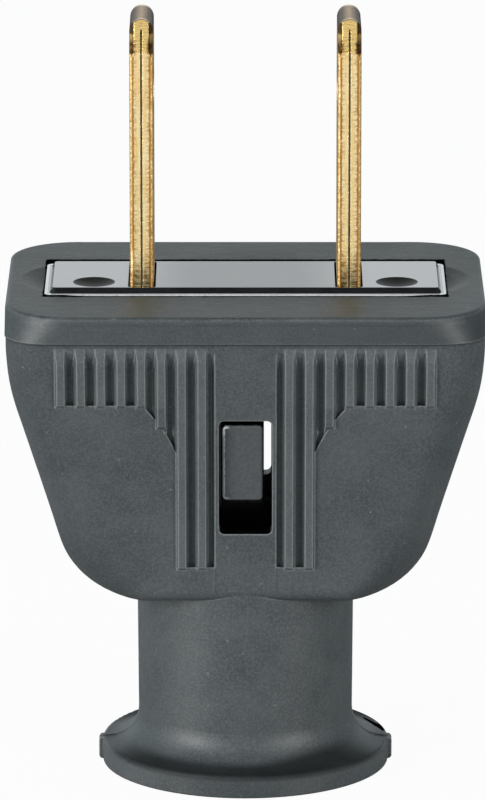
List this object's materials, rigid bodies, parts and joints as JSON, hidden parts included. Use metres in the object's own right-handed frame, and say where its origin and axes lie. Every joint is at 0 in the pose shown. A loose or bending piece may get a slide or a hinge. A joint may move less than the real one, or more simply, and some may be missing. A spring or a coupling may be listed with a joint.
{
  "type": "straight blade plug",
  "caption": "Flat-handle rubber cord plug with folded brass blades in a snap-in plastic insert, ribbed grip, see-through catch window and flared cord neck.",
  "frame": {"origin": "centre of the flange's underside, where the cord enters", "axes": "+Z along the cord's axis towards the blades' tips, X across the two blades, Y along each blade's width"},
  "size_m": [0.0294, 0.0204, 0.0476],
  "materials": {
    "rubber": "matte moulded rubber, dark bluish grey",
    "insert_plastic": "glossy black moulding",
    "blade_brass": "bright folded strip with sheared edges",
    "screw_brass": "plain turned brass"
  },
  "bodies": {
    "root": {"body": "rubber", "insert": "insert_plastic", "blade_left": "blade_brass", "blade_right": "blade_brass", "terminal_screws": "screw_brass"}
  },
  "joints": []
}
